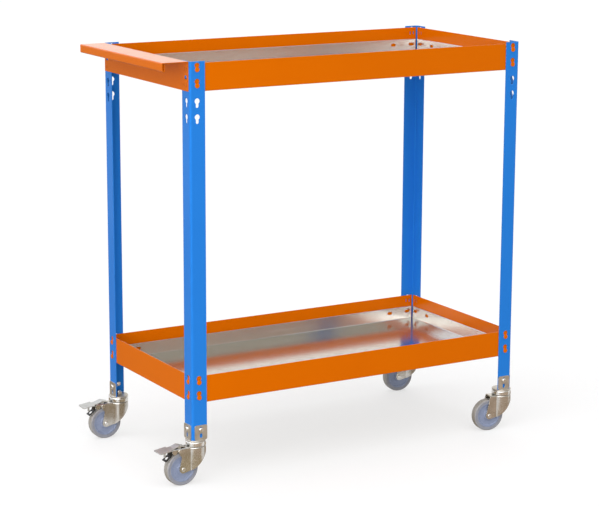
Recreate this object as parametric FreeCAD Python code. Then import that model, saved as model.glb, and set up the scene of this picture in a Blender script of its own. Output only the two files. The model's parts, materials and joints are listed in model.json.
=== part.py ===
import FreeCAD, Part
import math
import os

# Mobile work table: four angle posts, hook-in rails, two drop-in trays, a push handle
# and four swivel casters, the two on the handle's side with foot brakes.
# Millimetres, +Z up, +X along the long side away from the handle, front at -Y.

Vector = FreeCAD.Vector
AXIS_X = Vector(1, 0, 0)
AXIS_Y = Vector(0, 1, 0)
AXIS_Z = Vector(0, 0, 1)
ORIGIN = Vector(0, 0, 0)

# Frame
FRAME_WIDTH = 900.0
FRAME_DEPTH = 450.0
POST_LENGTH = 875.0
LOWER_LEVEL_RISE = 151.0
POST_FLANGE = 38.0
POST_WALL = 2.0
POST_BEND = 5.0

# Keyholes in the post flanges
KEYHOLE_DIAMETER = 13.0
KEYHOLE_SLOT = 7.5
KEYHOLE_HEIGHT = 21.5
KEYHOLE_OFFSET = 18.5
KEYHOLE_PITCH = 36.0
SPARE_PAIR_STEP = 80.0
KEYHOLE_TOP_MARGIN = 2.7
LUGS_PER_END = 2

# Lugs pressed out of the rails and the handle
LUG_ENTRY_PLAY = 0.75
LUG_HEAD_WALL = 1.6
LUG_HEAD_ROUNDING = 1.0
LUG_HEAD_LIFT = 2.0
LUG_NECK_RISE = 3.8
LUG_SIDE_PLAY = 0.25
LUG_SEAT_PLAY = 0.15
SLIT_WIDTH = 2.6
SLIT_HEIGHT = 8.0
SLIT_MARGIN = 0.3

# Rails
RAIL_HEIGHT = 64.0
RAIL_WALL = 1.2
RAIL_FLANGE = 20.0
RAIL_BEND = 2.2
RAIL_DROP = 4.0
RAIL_END_GAP = 4.0
RAIL_FLANGE_GAP = 2.0

# Trays, whose walls have sprung outwards by a few degrees
TRAY_WALL = 0.8
TRAY_HEIGHT = 33.0
TRAY_LEAN = 3.0
TRAY_BEND = 2.0
TRAY_HEM = 5.0
TRAY_HEM_GAP = 0.4
TRAY_PLAY = 1.0
TRAY_CORNER_GAP = 1.5
TRAY_HOLE_LENGTH = 15.0
TRAY_HOLE_WIDTH = 7.5
TRAY_HOLE_RISE = 19.5
TRAY_HOLE_INSET = 20.0
TRAY_HOLE_STEP = 55.0

# Push handle
HANDLE_WALL = 1.5
HANDLE_WEB = 67.0
HANDLE_REACH = 65.0
HANDLE_LIP = 20.0
HANDLE_FOLD_GAP = 3.5
HANDLE_RETURN_GAP = 2.5
HANDLE_BEND = 2.5
HANDLE_END_INSET = 6.0
HANDLE_WINDOW_WIDTH = 12.0
HANDLE_WINDOW_HEIGHT = 8.0

# Caster brackets and their bolts
KING_INSET = 16.0
TAB_WALL = 2.5
TAB_EDGE_MARGIN = 0.5
TAB_HEIGHT = 35.0
TAB_CORNER = 4.0
TAB_SLOT_PLAY = 0.5
TAB_SLOT_STRETCH = 4.0
TAB_BOLT_DROP = 11.0
TAB_BOLT_SLOT_LIFT = 1.5
TAB_SPARE_SLOT_DROP = 25.0
BASE_WALL = 3.0
BASE_EDGE = 1.2
BOLT_DIAMETER = 6.0
BOLT_HOLE_PLAY = 0.3
BOLT_HEAD_DIAMETER = 11.0
BOLT_HEAD_HEIGHT = 3.6
BOLT_TAIL = 2.0
BOLT_NUT_FLATS = 10.0
BOLT_NUT_HEIGHT = 5.0

# Straight edge left under a round bolt head, and the chamfer on the corners of a hexagon
DOME_EDGE = 0.6
HEXAGON_CHAMFER = 1.0

# Swivel heads
CUP_DIAMETER = 48.0
CUP_HEIGHT = 11.5
CUP_WALL = 2.0
CUP_EDGE = 4.0
SWIVEL_GAP = 1.0
RACE_GAP = 1.5
RACE_WIDTH = 7.0
BALL_DIAMETER = 6.5
BALL_COUNT = 12
BALL_PLAY = 0.3
KING_DIAMETER = 10.0
KING_HOLE_PLAY = 0.1
RUNNING_PLAY = 0.05
KING_FLATS = 17.0
KING_HEAD_HEIGHT = 6.5
KING_NUT_HEIGHT = 8.0
KING_TAIL = 3.0
KING_WASHER_WALL = 1.6
KING_WASHER_DIAMETER = 21.0
KING_WASHER_PLAY = 0.4

# Wheels
WHEEL_DIAMETER = 80.0
TYRE_WIDTH = 20.0
TYRE_SHOULDER = 3.5
TYRE_THICKNESS = 9.0
TYRE_RING_DROP = 6.0
TYRE_RING_WIDTH = 2.0
TYRE_RING_DEPTH = 0.8
CORE_RIM_INSET = 0.5
CORE_RIM_WALL = 3.5
CORE_WEB_RECESS = 2.0
HUB_WALL = 8.0
HUB_OVERHANG = 0.5
HUB_PLAY = 0.75
BUSH_WALL = 1.9
AXLE_DIAMETER = 6.0
AXLE_PLAY = 0.1
AXLE_HEAD_DIAMETER = 9.5
AXLE_HEAD_HEIGHT = 2.6
AXLE_NUT_FLATS = 10.0
AXLE_NUT_HEIGHT = 5.0
AXLE_TAIL = 2.0

# Forks
TRAIL = 38.3
FORK_WALL = 2.5
CROWN_CLEARANCE = 8.0
CROWN_EDGE = 3.0
FORK_NOSE_DROP = 8.0
FORK_HEEL_AHEAD = 20.5
FORK_HEEL_DROP = 4.6
FORK_NOSE_BULGE = 2.8
FORK_BOSS_RADIUS = 9.6
CROWN_REAR = 36.0
ARM_ROOT_BEHIND = 3.7
ARM_ROOT_DROP = 21.5
ARM_REACH = 28.0
ARM_END_RADIUS = 6.5

# Foot brakes
BRAKE_PIN_BEHIND = 8.5
BRAKE_PIN_DROP = 6.0
BRAKE_PIN_DIAMETER = 5.0
BRAKE_PIN_HEAD = 8.5
BRAKE_PIN_HEAD_WALL = 1.6
PEDAL_WALL = 2.0
PEDAL_PLAY = 0.4
PEDAL_TONGUE_AHEAD = 15.5
PEDAL_TONGUE_RISE = 8.0
PEDAL_TONGUE_WIDTH = 18.0
PEDAL_PEAK_RISE = 12.0
PEDAL_KNEE_BEHIND = 15.5
PEDAL_KNEE_RISE = 6.8
PEDAL_TIP_BEHIND = 52.5
PEDAL_TIP_RISE = 1.2
PEDAL_TIP_WIDTH = 36.0
PEDAL_TIP_CORNER = 3.0
PEDAL_BEND = 4.0
PEDAL_EAR_RADIUS = 4.0
PEDAL_FLARE_GAP = 3.0
RELEASE_TAB_BEHIND = 33.0
RELEASE_TAB_DROP = 13.0
RELEASE_TAB_WIDTH = 8.0
SHOE_WALL = 2.0
SHOE_INSET = 1.0
SHOE_GAP = 4.1
SHOE_ANGLE = 130.5
SHOE_TOP_AHEAD = 4.7
SHOE_LIP_REACH = 14.5
SHOE_LIP_DROP = 11.0
SHOE_LIP_BAR = 3.5
SHOE_WINDOW_WIDTH = 11.0
SHOE_BEND = 2.5

# Corners in the order of their posts' quarter turns
CORNERS = ("front_left", "front_right", "back_right", "back_left")
BRAKED_CORNERS = ("front_left", "back_left")

# How far each caster is swung at rest, in degrees from trailing to the left
REST_TURNS = {"front_left": 0.0, "front_right": -8.0, "back_right": -6.0, "back_left": -3.0}

# Heights above the floor
AXLE_Z = WHEEL_DIAMETER / 2
CROWN_UNDER_Z = WHEEL_DIAMETER + CROWN_CLEARANCE
CROWN_TOP_Z = CROWN_UNDER_Z + FORK_WALL
CUP_UNDER_Z = CROWN_TOP_Z + SWIVEL_GAP
CUP_TOP_Z = CUP_UNDER_Z + CUP_HEIGHT
POST_FOOT_Z = CUP_TOP_Z + BASE_WALL
POST_TOP_Z = POST_FOOT_Z + POST_LENGTH
TOP_LEVEL_Z = POST_TOP_Z - RAIL_DROP
BOTTOM_LEVEL_Z = POST_FOOT_Z + LOWER_LEVEL_RISE
LEVEL_STEP = TOP_LEVEL_Z - BOTTOM_LEVEL_Z

# Sizes across a caster
CORE_DIAMETER = WHEEL_DIAMETER - 2 * TYRE_THICKNESS
CORE_RIM_WIDTH = TYRE_WIDTH - 2 * CORE_RIM_INSET
CORE_WEB_WIDTH = CORE_RIM_WIDTH - 2 * CORE_WEB_RECESS
HUB_LENGTH = TYRE_WIDTH + 2 * HUB_OVERHANG
BUSH_DIAMETER = AXLE_DIAMETER + 2 * (AXLE_PLAY + BUSH_WALL)
HUB_DIAMETER = BUSH_DIAMETER + 2 * HUB_WALL
FORK_INNER = HUB_LENGTH + 2 * HUB_PLAY
FORK_OUTER = FORK_INNER + 2 * FORK_WALL
SHOE_WIDTH = TYRE_WIDTH - 2 * SHOE_INSET
RACE_OUTER = CUP_DIAMETER - 2 * (CUP_WALL + RACE_GAP)
RACE_INNER = RACE_OUTER - 2 * RACE_WIDTH

# Sizes of what hooks or bolts to a post
LUG_HEAD_DIAMETER = KEYHOLE_DIAMETER - 2 * LUG_ENTRY_PLAY
TAB_START = POST_BEND + TAB_EDGE_MARGIN
TAB_WIDTH = POST_FLANGE - TAB_START - TAB_EDGE_MARGIN
TAB_MIDDLE = TAB_START + TAB_WIDTH / 2
TAB_SLOT_WIDTH = BOLT_DIAMETER + 2 * TAB_SLOT_PLAY
TAB_SLOT_LENGTH = TAB_SLOT_WIDTH + TAB_SLOT_STRETCH

# How far a cutter runs past what it cuts, how near counts as the same place, and the shortest edge drawn
CUT = 1.0
NEAR = 0.1
SHORTEST_EDGE = 1e-6


def in_xy(u, v):
    """Point of a section drawn in the floor plane."""
    return Vector(u, v, 0)


def in_xz(u, v):
    """Point of a section drawn in the side view, seen along +Y."""
    return Vector(u, 0, v)


def in_yz(u, v):
    """Point of a section drawn in the end view, seen along X."""
    return Vector(0, u, v)


def block(x0, x1, y0, y1, z0, z1):
    """Box between two corners."""
    return Part.makeBox(x1 - x0, y1 - y0, z1 - z0, Vector(x0, y0, z0))


def rod(radius, start, direction, length):
    """Cylinder from a start point along a direction."""
    return Part.makeCylinder(radius, length, start, direction)


def hexagon(flats, start, height):
    """Upright hexagonal prism given by its width across flats, its corners chamfered at both ends."""
    radius = flats / math.sqrt(3)
    corners = [start + Vector(radius, 0, 0)]
    for side in range(1, 7):
        angle = math.radians(60 * side)
        corners.append(start + Vector(radius * math.cos(angle), radius * math.sin(angle), 0))
    prism = Part.Face(Part.makePolygon(corners)).extrude(AXIS_Z * height)
    blank = rod(radius, start, AXIS_Z, height)
    rims = [edge for edge in blank.Edges if edge.Closed]
    return prism.common(blank.makeChamfer(HEXAGON_CHAMFER, rims))


def obround(length, width, wall):
    """Slot cutter along X, centred, standing through a sheet whose face is at y = 0."""
    reach = (length - width) / 2
    depth = wall + 2 * CUT
    cutter = block(-reach, reach, -CUT, wall + CUT, -width / 2, width / 2)
    for side in (-1, 1):
        end = rod(width / 2, Vector(side * reach, -CUT, 0), AXIS_Y, depth)
        cutter = cutter.fuse(end)
    return cutter.removeSplitter()


def moved(shape, x=0.0, y=0.0, z=0.0):
    """Copy of a shape shifted by a vector."""
    copy = shape.copy()
    copy.translate(Vector(x, y, z))
    return copy


def turned(shape, degrees, axis=AXIS_Z, centre=ORIGIN):
    """Copy of a shape turned about an axis."""
    copy = shape.copy()
    copy.rotate(centre, axis, degrees)
    return copy


def cut_all(shape, cutters):
    """Shape with every cutter taken away."""
    for cutter in cutters:
        shape = shape.cut(cutter)
    return shape


def fuse_all(shapes):
    """One solid from shapes that share faces."""
    whole = shapes[0]
    for shape in shapes[1:]:
        whole = whole.fuse(shape)
    return whole.removeSplitter()


def fillet_where(shape, radius, test):
    """Round every edge whose middle passes a test."""
    chosen = [edge for edge in shape.Edges if test(edge.CenterOfMass, edge)]
    return shape.makeFillet(radius, chosen)


def dome(radius, height, start, direction):
    """Round bolt head whose outer rim is rolled over."""
    head = rod(radius, start, direction, height)
    far = start + direction * height
    rim = height - DOME_EDGE
    return fillet_where(head, rim, lambda middle, edge: middle.distanceToPoint(far) < NEAR)


def strip(points, wall, bends, plane):
    """Section face of a folded sheet.

    points run along the middle of the sheet and bends holds the middle radius of each fold.
    """
    half = wall / 2
    runs = []
    for start, end in zip(points, points[1:]):
        length = math.hypot(end[0] - start[0], end[1] - start[1])
        runs.append(((end[0] - start[0]) / length, (end[1] - start[1]) / length))

    def fold(index):
        """Turn angle and set-back of the fold after a run."""
        before = runs[index]
        after = runs[index + 1]
        turn = math.atan2(before[0] * after[1] - before[1] * after[0],
                          before[0] * after[0] + before[1] * after[1])
        return turn, bends[index] * math.tan(abs(turn) / 2)

    def side_edges(offset):
        """Edges along one face of the sheet, with its first and last point."""
        edges = []
        last = len(runs) - 1
        first_point = None
        for index, run in enumerate(runs):
            normal = (-run[1], run[0])
            near = 0.0 if index == 0 else fold(index - 1)[1]
            far = 0.0 if index == last else fold(index)[1]
            start = (points[index][0] + run[0] * near + normal[0] * offset,
                     points[index][1] + run[1] * near + normal[1] * offset)
            end = (points[index + 1][0] - run[0] * far + normal[0] * offset,
                   points[index + 1][1] - run[1] * far + normal[1] * offset)
            if first_point is None:
                first_point = start
            if math.hypot(end[0] - start[0], end[1] - start[1]) > SHORTEST_EDGE:
                edges.append(Part.LineSegment(plane(*start), plane(*end)).toShape())
            if index < last:
                turn = fold(index)[0]
                sign = math.copysign(1.0, turn)
                to_centre = sign * bends[index] - offset
                centre = (end[0] + normal[0] * to_centre, end[1] + normal[1] * to_centre)
                arm = (end[0] - centre[0], end[1] - centre[1])
                middle = swing(centre, arm, turn / 2)
                close = swing(centre, arm, turn)
                edges.append(Part.Arc(plane(*end), plane(*middle), plane(*close)).toShape())
        return edges, first_point, end

    left, left_first, left_last = side_edges(half)
    right, right_first, right_last = side_edges(-half)
    caps = [Part.LineSegment(plane(*left_first), plane(*right_first)).toShape(),
            Part.LineSegment(plane(*left_last), plane(*right_last)).toShape()]
    outline = Part.Wire(Part.__sortEdges__(left + right + caps))
    return Part.Face(outline)


def swing(centre, arm, angle):
    """End of an arm turned about a centre."""
    cosine = math.cos(angle)
    sine = math.sin(angle)
    return (centre[0] + arm[0] * cosine - arm[1] * sine,
            centre[1] + arm[0] * sine + arm[1] * cosine)


def tangent_point(centre, radius, outside, side):
    """Point of a circle where the line from an outside point touches it."""
    across = outside[0] - centre[0]
    rise = outside[1] - centre[1]
    angle = math.atan2(rise, across) + side * math.acos(radius / math.hypot(across, rise))
    return (centre[0] + radius * math.cos(angle), centre[1] + radius * math.sin(angle))


def corner_signs(corner):
    """Signs of a corner's X and Y."""
    side_x = -1 if corner.endswith("left") else 1
    side_y = -1 if corner.startswith("front") else 1
    return side_x, side_y


def at_corner(shape, corner):
    """Put a shape drawn at a post's outer corner at one of the four corners."""
    side_x, side_y = corner_signs(corner)
    turn = 360 / len(CORNERS) * CORNERS.index(corner)
    return moved(turned(shape, turn), side_x * FRAME_WIDTH / 2, side_y * FRAME_DEPTH / 2)


def king_place(corner):
    """Plan position of a caster's swivel axis."""
    side_x, side_y = corner_signs(corner)
    return side_x * (FRAME_WIDTH / 2 - KING_INSET), side_y * (FRAME_DEPTH / 2 - KING_INSET)


def at_caster(shape, corner):
    """Put a shape drawn about the swivel axis, with the wheel trailing to -X, at a corner."""
    king_x, king_y = king_place(corner)
    return moved(turned(shape, REST_TURNS[corner]), king_x, king_y)


def to_other_flange(shape):
    """Swing a shape from the flange along X to the flange along Y."""
    return shape.mirror(ORIGIN, Vector(1, -1, 0))


# Keyholes and lugs
def keyhole(top):
    """Cutter for one keyhole in the flange along X, with its round top end at a height."""
    depth = POST_WALL + 2 * CUT
    ring_z = top - KEYHOLE_DIAMETER / 2
    slot_z = top - KEYHOLE_HEIGHT + KEYHOLE_SLOT / 2
    start = Vector(KEYHOLE_OFFSET, -CUT, ring_z)
    ring = rod(KEYHOLE_DIAMETER / 2, start, AXIS_Y, depth)
    left = KEYHOLE_OFFSET - KEYHOLE_SLOT / 2
    slot = block(left, left + KEYHOLE_SLOT, -CUT, POST_WALL + CUT, slot_z, ring_z)
    foot = rod(KEYHOLE_SLOT / 2, Vector(KEYHOLE_OFFSET, -CUT, slot_z), AXIS_Y, depth)
    return fuse_all([ring, slot, foot])


def keyhole_tops(pair_drop):
    """Heights of a pair of keyholes, below the post's top end."""
    return [-KEYHOLE_TOP_MARGIN - pair_drop - KEYHOLE_PITCH * count for count in range(LUGS_PER_END)]


def lug_feet():
    """Heights of the lugs' lower centres, below the post's top end."""
    return [top - KEYHOLE_HEIGHT + KEYHOLE_SLOT / 2 for top in keyhole_tops(0.0)]


def lug():
    """Pressed lug standing out along -Y from a sheet face at y = 0, its lower centre at the origin."""
    radius = KEYHOLE_SLOT / 2 - LUG_SIDE_PLAY
    neck_length = POST_WALL + LUG_SEAT_PLAY
    low = rod(radius, ORIGIN, -AXIS_Y, neck_length)
    high = moved(low, z=LUG_NECK_RISE)
    bar = block(-radius, radius, -neck_length, 0.0, 0.0, LUG_NECK_RISE)
    start = Vector(0, -neck_length, LUG_HEAD_LIFT)
    head = rod(LUG_HEAD_DIAMETER / 2, start, -AXIS_Y, LUG_HEAD_WALL)
    face_y = -neck_length - LUG_HEAD_WALL
    head = fillet_where(head, LUG_HEAD_ROUNDING, lambda middle, edge: middle.y < face_y + NEAR)
    return fuse_all([low, bar, high, head])


def lug_slits(wall):
    """The two upright slits beside a lug, cut through a sheet whose face is at y = 0."""
    inner = KEYHOLE_SLOT / 2 - LUG_SIDE_PLAY + SLIT_MARGIN
    low = LUG_HEAD_LIFT - SLIT_HEIGHT / 2
    right = block(inner, inner + SLIT_WIDTH, -CUT, wall + CUT, low, low + SLIT_HEIGHT)
    return [right, right.mirror(ORIGIN, AXIS_X)]


# Posts
def post():
    """Angle post at its outer corner, standing on z = 0."""
    half = POST_WALL / 2
    path = [(POST_FLANGE, half), (half, half), (half, POST_FLANGE)]
    section = strip(path, POST_WALL, [POST_BEND - half], in_xy)
    body = section.extrude(AXIS_Z * POST_LENGTH)
    cutters = []
    for pair_drop in (0.0, SPARE_PAIR_STEP, LEVEL_STEP):
        for top in keyhole_tops(pair_drop):
            cutters.append(keyhole(POST_LENGTH + top))
    hole_radius = BOLT_DIAMETER / 2 + BOLT_HOLE_PLAY
    hole_start = Vector(TAB_MIDDLE, -CUT, TAB_HEIGHT - TAB_BOLT_DROP)
    cutters.append(rod(hole_radius, hole_start, AXIS_Y, POST_WALL + 2 * CUT))
    for cutter in list(cutters):
        cutters.append(to_other_flange(cutter))
    return cut_all(body, cutters)


# Rails
def rail(span, flange_inset):
    """Rail between two posts, its outer face at y = 0 and the posts' top end at z = 0."""
    length = span - 2 * (POST_WALL + RAIL_END_GAP)
    half = RAIL_WALL / 2
    low = -RAIL_DROP - RAIL_HEIGHT + half
    path = [(half, -RAIL_DROP), (half, low), (RAIL_FLANGE, low)]
    section = strip(path, RAIL_WALL, [RAIL_BEND - half], in_yz)
    body = moved(section.extrude(AXIS_X * length), x=-length / 2)
    inset = span / 2 - flange_inset
    for side in (-1, 1):
        outer = side * (length / 2 + CUT)
        x0 = min(side * inset, outer)
        x1 = max(side * inset, outer)
        if abs(outer) > inset:
            body = body.cut(block(x0, x1, RAIL_BEND, RAIL_FLANGE + CUT, low - CUT, low + RAIL_BEND))
    parts = [body]
    for side in (-1, 1):
        for foot in lug_feet():
            x = side * (span / 2 - KEYHOLE_OFFSET)
            parts[0] = cut_all(parts[0], [moved(slit, x, 0, foot) for slit in lug_slits(RAIL_WALL)])
            parts.append(moved(lug(), x, 0, foot))
    return fuse_all(parts)


def long_rail():
    """Front or back rail, its bottom flange running its whole length."""
    return rail(FRAME_WIDTH, 0.0)


def short_rail():
    """End rail, its bottom flange kept clear of the long rails' flanges."""
    return rail(FRAME_DEPTH, POST_WALL + RAIL_FLANGE + RAIL_FLANGE_GAP)


def at_side(shape, side, level_z):
    """Put a rail at one side of the frame."""
    reach_y = FRAME_DEPTH / 2 - POST_WALL
    reach_x = FRAME_WIDTH / 2 - POST_WALL
    turns = {"front": (0.0, 0.0, -reach_y), "right": (90.0, reach_x, 0.0),
             "back": (180.0, 0.0, reach_y), "left": (270.0, -reach_x, 0.0)}
    turn, x, y = turns[side]
    return moved(turned(shape, turn), x, y, level_z + RAIL_DROP)


# Trays
def tray_half(span):
    """Half of a tray's outer size under a given frame size."""
    return span / 2 - POST_WALL - RAIL_WALL - TRAY_PLAY


def tray_foot():
    """How far a leaning wall's foot stands in from its top edge."""
    return (TRAY_HEIGHT - TRAY_WALL) * math.tan(math.radians(TRAY_LEAN))


def tray_wall(span):
    """One upturned wall along X with its bend and hem, top edge at y = 0, floor underside at z = 0."""
    half = TRAY_WALL / 2
    inner = TRAY_WALL + TRAY_HEM_GAP
    lean = math.radians(TRAY_LEAN)
    along = (-math.sin(lean), math.cos(lean))
    foot = (tray_foot() + half, half)
    top = (half, TRAY_HEIGHT - half)
    fold = (top[0] + inner * along[1], top[1] - inner * along[0])
    hem = TRAY_HEM - half
    path = [(tray_foot() + TRAY_BEND, half), foot, top, fold,
            (fold[0] - hem * along[0], fold[1] - hem * along[1])]
    bends = [TRAY_BEND - half, inner / 2, inner / 2]
    section = strip(path, TRAY_WALL, bends, in_yz)
    length = 2 * (tray_half(span) - tray_foot() - TRAY_BEND - TRAY_CORNER_GAP)
    wall = moved(section.extrude(AXIS_X * length), x=-length / 2)
    slot = obround(TRAY_HOLE_LENGTH, TRAY_HOLE_WIDTH, tray_foot() + TRAY_WALL)
    corner = span / 2 - POST_WALL
    for side in (-1, 1):
        for inset in (TRAY_HOLE_INSET, TRAY_HOLE_INSET + TRAY_HOLE_STEP):
            wall = wall.cut(moved(slot, side * (corner - inset), 0, TRAY_HOLE_RISE))
    return wall


def tray():
    """Drop-in pan, its floor's underside at z = 0."""
    half_x = tray_half(FRAME_WIDTH)
    half_y = tray_half(FRAME_DEPTH)
    edge = tray_foot() + TRAY_BEND
    floor = block(edge - half_x, half_x - edge, edge - half_y, half_y - edge, 0.0, TRAY_WALL)
    long_wall = tray_wall(FRAME_WIDTH)
    short_wall = tray_wall(FRAME_DEPTH)
    walls = [moved(long_wall, y=-half_y), moved(turned(short_wall, 90.0), x=half_x),
             moved(turned(long_wall, 180.0), y=half_y), moved(turned(short_wall, 270.0), x=-half_x)]
    return fuse_all([floor] + walls)


def tray_z(level_z):
    """Height of a tray floor's underside, on the rails' bottom flanges."""
    return level_z - RAIL_HEIGHT + RAIL_WALL


# Push handle
def push_handle():
    """Folded handle hooked on the outside of the two left posts, its top level with theirs."""
    half = HANDLE_WALL / 2
    fold = HANDLE_WALL + HANDLE_FOLD_GAP
    lip_x = -HANDLE_REACH + half
    fold_z = -HANDLE_LIP + half
    return_z = -HANDLE_WALL - HANDLE_RETURN_GAP
    path = [(-half, -HANDLE_WEB), (-half, -half), (lip_x, -half), (lip_x, fold_z),
            (lip_x + fold, fold_z), (lip_x + fold, return_z)]
    bend = HANDLE_BEND - half
    section = strip(path, HANDLE_WALL, [bend, bend, fold / 2, fold / 2], in_xz)
    length = FRAME_DEPTH - 2 * HANDLE_END_INSET
    body = moved(section.extrude(AXIS_Y * length), y=-length / 2)
    feet = lug_feet()
    window_z = (feet[0] + feet[-1]) / 2 + LUG_HEAD_LIFT
    half_width = HANDLE_WINDOW_WIDTH / 2
    half_height = HANDLE_WINDOW_HEIGHT / 2
    parts = [body]
    for side in (-1, 1):
        y = side * (FRAME_DEPTH / 2 - KEYHOLE_OFFSET)
        window = block(-HANDLE_WALL - CUT, CUT, y - half_width, y + half_width,
                       window_z - half_height, window_z + half_height)
        parts[0] = parts[0].cut(window)
        for foot in feet:
            slits = [moved(turned(slit, 90.0), 0, y, foot) for slit in lug_slits(HANDLE_WALL)]
            parts[0] = cut_all(parts[0], slits)
            parts.append(moved(turned(lug(), 90.0), 0, y, foot))
    return moved(fuse_all(parts), x=-FRAME_WIDTH / 2, z=POST_TOP_Z)


# Caster brackets, drawn at a post's outer corner with the post's lower end at z = 0
def tab():
    """Upright tab on the flange along X, standing on the base."""
    plate = block(TAB_START, TAB_START + TAB_WIDTH, -TAB_WALL, 0.0, 0.0, TAB_HEIGHT)
    plate = fillet_where(plate, TAB_CORNER, lambda middle, edge: abs(middle.y + TAB_WALL / 2) < NEAR
                         and abs(middle.x - TAB_MIDDLE) > TAB_WIDTH / 2 - NEAR)
    slot = turned(obround(TAB_SLOT_LENGTH, TAB_SLOT_WIDTH, TAB_WALL), 90.0, AXIS_Y)
    bolt_slot_z = TAB_HEIGHT - TAB_BOLT_DROP + TAB_BOLT_SLOT_LIFT
    slots = [moved(slot, TAB_MIDDLE, -TAB_WALL, bolt_slot_z),
             moved(slot, TAB_MIDDLE, -TAB_WALL, TAB_HEIGHT - TAB_SPARE_SLOT_DROP)]
    return cut_all(plate, slots)


def caster_bracket():
    """Round base under the post with two upright tabs outside its flanges."""
    start = Vector(KING_INSET, KING_INSET, -BASE_WALL)
    base = rod(CUP_DIAMETER / 2, start, AXIS_Z, BASE_WALL)
    base = fillet_where(base, BASE_EDGE, lambda middle, edge: edge.Length > CUP_DIAMETER)
    first = tab()
    whole = fuse_all([base, first, to_other_flange(first)])
    hole = rod(KING_DIAMETER / 2 + KING_HOLE_PLAY, start - AXIS_Z * CUT, AXIS_Z, BASE_WALL + 2 * CUT)
    return whole.cut(hole)


def bracket_bolt():
    """Round-headed bolt through a tab and the flange along X."""
    seat = Vector(TAB_MIDDLE, -TAB_WALL, TAB_HEIGHT - TAB_BOLT_DROP)
    head = dome(BOLT_HEAD_DIAMETER / 2, BOLT_HEAD_HEIGHT, seat, -AXIS_Y)
    length = TAB_WALL + POST_WALL + BOLT_NUT_HEIGHT + BOLT_TAIL
    return fuse_all([head, rod(BOLT_DIAMETER / 2, seat, AXIS_Y, length)])


def bracket_nut():
    """Hexagon nut of a bracket bolt, inside the angle."""
    nut = hexagon(BOLT_NUT_FLATS, ORIGIN, BOLT_NUT_HEIGHT)
    nut = nut.cut(rod(BOLT_DIAMETER / 2, -AXIS_Z * CUT, AXIS_Z, BOLT_NUT_HEIGHT + 2 * CUT))
    nut = turned(nut, -90.0, AXIS_X)
    return moved(nut, TAB_MIDDLE, POST_WALL, TAB_HEIGHT - TAB_BOLT_DROP)


# Swivel heads, drawn about the swivel axis with z above the floor
def swivel_cup():
    """Upper race: a cup turned down over the balls."""
    radius = CUP_DIAMETER / 2
    cup = rod(radius, Vector(0, 0, CUP_UNDER_Z), AXIS_Z, CUP_HEIGHT)
    cup = fillet_where(cup, CUP_EDGE, lambda middle, edge: middle.z > CUP_TOP_Z - NEAR)
    hollow = rod(radius - CUP_WALL, Vector(0, 0, CUP_UNDER_Z - CUT), AXIS_Z, CUP_HEIGHT - CUP_WALL + CUT)
    hole = rod(KING_DIAMETER / 2 + KING_HOLE_PLAY, Vector(0, 0, CUP_UNDER_Z), AXIS_Z, CUP_HEIGHT + CUT)
    return cut_all(cup, [hollow, hole])


def ball_z():
    """Height of the balls' centres, under the cup."""
    return CUP_TOP_Z - CUP_WALL - BALL_DIAMETER / 2


def swivel_balls():
    """Ring of balls in one swivel head."""
    radius = (RACE_INNER + RACE_OUTER) / 4
    balls = []
    for count in range(BALL_COUNT):
        angle = 2 * math.pi * count / BALL_COUNT
        place = Vector(radius * math.cos(angle), radius * math.sin(angle), ball_z())
        balls.append(Part.makeSphere(BALL_DIAMETER / 2, place))
    return balls


def king_bolt():
    """Swivel bolt, its head inside the fork."""
    washer_top = CROWN_UNDER_Z - KING_WASHER_PLAY
    seat = washer_top - KING_WASHER_WALL
    head = hexagon(KING_FLATS, Vector(0, 0, seat - KING_HEAD_HEIGHT), KING_HEAD_HEIGHT)
    length = POST_FOOT_Z + KING_NUT_HEIGHT + KING_TAIL - seat
    return fuse_all([head, rod(KING_DIAMETER / 2, Vector(0, 0, seat), AXIS_Z, length)])


def king_washer():
    """Washer between the bolt's head and the crown."""
    start = Vector(0, 0, CROWN_UNDER_Z - KING_WASHER_PLAY - KING_WASHER_WALL)
    disc = rod(KING_WASHER_DIAMETER / 2, start, AXIS_Z, KING_WASHER_WALL)
    hole = rod(KING_DIAMETER / 2 + KING_HOLE_PLAY, start - AXIS_Z * CUT, AXIS_Z, KING_WASHER_WALL + 2 * CUT)
    return disc.cut(hole)


def king_nut():
    """Nut of the swivel bolt, on the bracket's base inside the post."""
    start = Vector(0, 0, POST_FOOT_Z)
    nut = hexagon(KING_FLATS, start, KING_NUT_HEIGHT)
    return nut.cut(rod(KING_DIAMETER / 2, start - AXIS_Z * CUT, AXIS_Z, KING_NUT_HEIGHT + 2 * CUT))


# Forks, drawn about the swivel axis with the wheel trailing to -X
def fork_block(bell_radius, half_width, z0, z1, edge_radius):
    """Round bell about the swivel axis and a straight block behind it, their top edges rounded."""
    bell = rod(bell_radius, Vector(0, 0, z0), AXIS_Z, z1 - z0)
    legs = block(-TRAIL - WHEEL_DIAMETER, 0.0, -half_width, half_width, z0, z1)
    if edge_radius > 0:
        bell = fillet_where(bell, edge_radius, lambda middle, edge: middle.z > z1 - NEAR)
        legs = fillet_where(legs, edge_radius, lambda middle, edge: middle.z > z1 - NEAR
                            and abs(middle.y) > half_width - NEAR)
    return fuse_all([bell, legs])


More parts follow.
